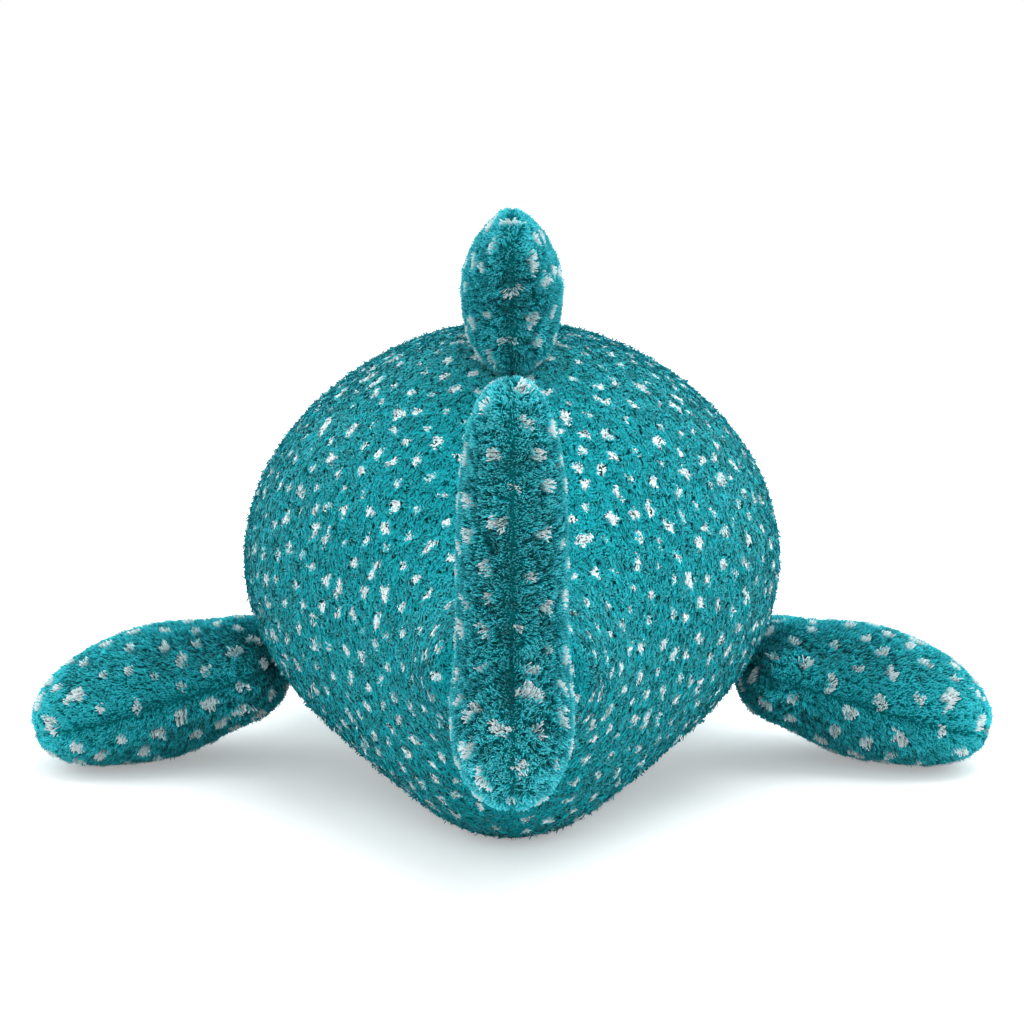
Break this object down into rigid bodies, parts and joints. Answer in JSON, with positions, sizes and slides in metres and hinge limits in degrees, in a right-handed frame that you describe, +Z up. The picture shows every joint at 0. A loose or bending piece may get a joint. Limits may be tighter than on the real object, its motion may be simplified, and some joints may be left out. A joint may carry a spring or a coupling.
{
  "type": "plush whale shark",
  "caption": "Stuffed plush whale shark lying on its belly, with spotted fur panels, a gusset, safety eyes and soft sewn-on fins that flap, sway and swing.",
  "frame": {"origin": "on the floor under the middle of the toy's box", "axes": "+Y along the body towards the head, +Z up, +X to the shark's right"},
  "size_m": [0.4062, 0.4576, 0.2381],
  "materials": {
    "plush": "long curly teal pile with white tufts",
    "stuffing": "loose white polyester fibre",
    "thread": "matte embroidery thread",
    "eye": "polished black",
    "washer": "moulded, satin"
  },
  "bodies": {
    "body": {"body_panel_left": "plush", "body_panel_right": "plush", "belly_gusset": "plush", "body_stuffing": "stuffing", "mouth_stitching": "thread", "left_eye": "eye", "right_eye": "eye", "left_eye_washer": "washer", "right_eye_washer": "washer"},
    "dorsal_fin": {"dorsal_fin_panel_left": "plush", "dorsal_fin_panel_right": "plush", "dorsal_fin_stuffing": "stuffing"},
    "left_fin": {"left_fin_upper_panel": "plush", "left_fin_lower_panel": "plush", "left_fin_stuffing": "stuffing"},
    "right_fin": {"right_fin_upper_panel": "plush", "right_fin_lower_panel": "plush", "right_fin_stuffing": "stuffing"},
    "tail_fin": {"tail_fin_panel_left": "plush", "tail_fin_panel_right": "plush", "tail_fin_stuffing": "stuffing"}
  },
  "joints": [
    {"name": "dorsal_fin_sway", "type": "hinge", "parent": "body", "child": "dorsal_fin", "pos_m": [0, 0.02848, 0.19018], "axis": [0, 0.9836, 0.1804], "range_deg": [-40, 40], "stiffness_Nm_per_rad": 0.2},
    {"name": "left_fin_flap", "type": "hinge", "parent": "body", "child": "left_fin", "pos_m": [-0.11217, 0.07348, 0.04019], "axis": [0, 1, 0], "range_deg": [0, 45], "stiffness_Nm_per_rad": 0.2},
    {"name": "right_fin_flap", "type": "hinge", "parent": "body", "child": "right_fin", "pos_m": [0.11217, 0.07348, 0.04019], "axis": [0, -1, 0], "range_deg": [0, 45], "stiffness_Nm_per_rad": 0.2},
    {"name": "tail_fin_swing", "type": "hinge", "parent": "body", "child": "tail_fin", "pos_m": [0, -0.15452, 0.081], "axis": [0, 0, 1], "range_deg": [-40, 40], "stiffness_Nm_per_rad": 0.2}
  ]
}
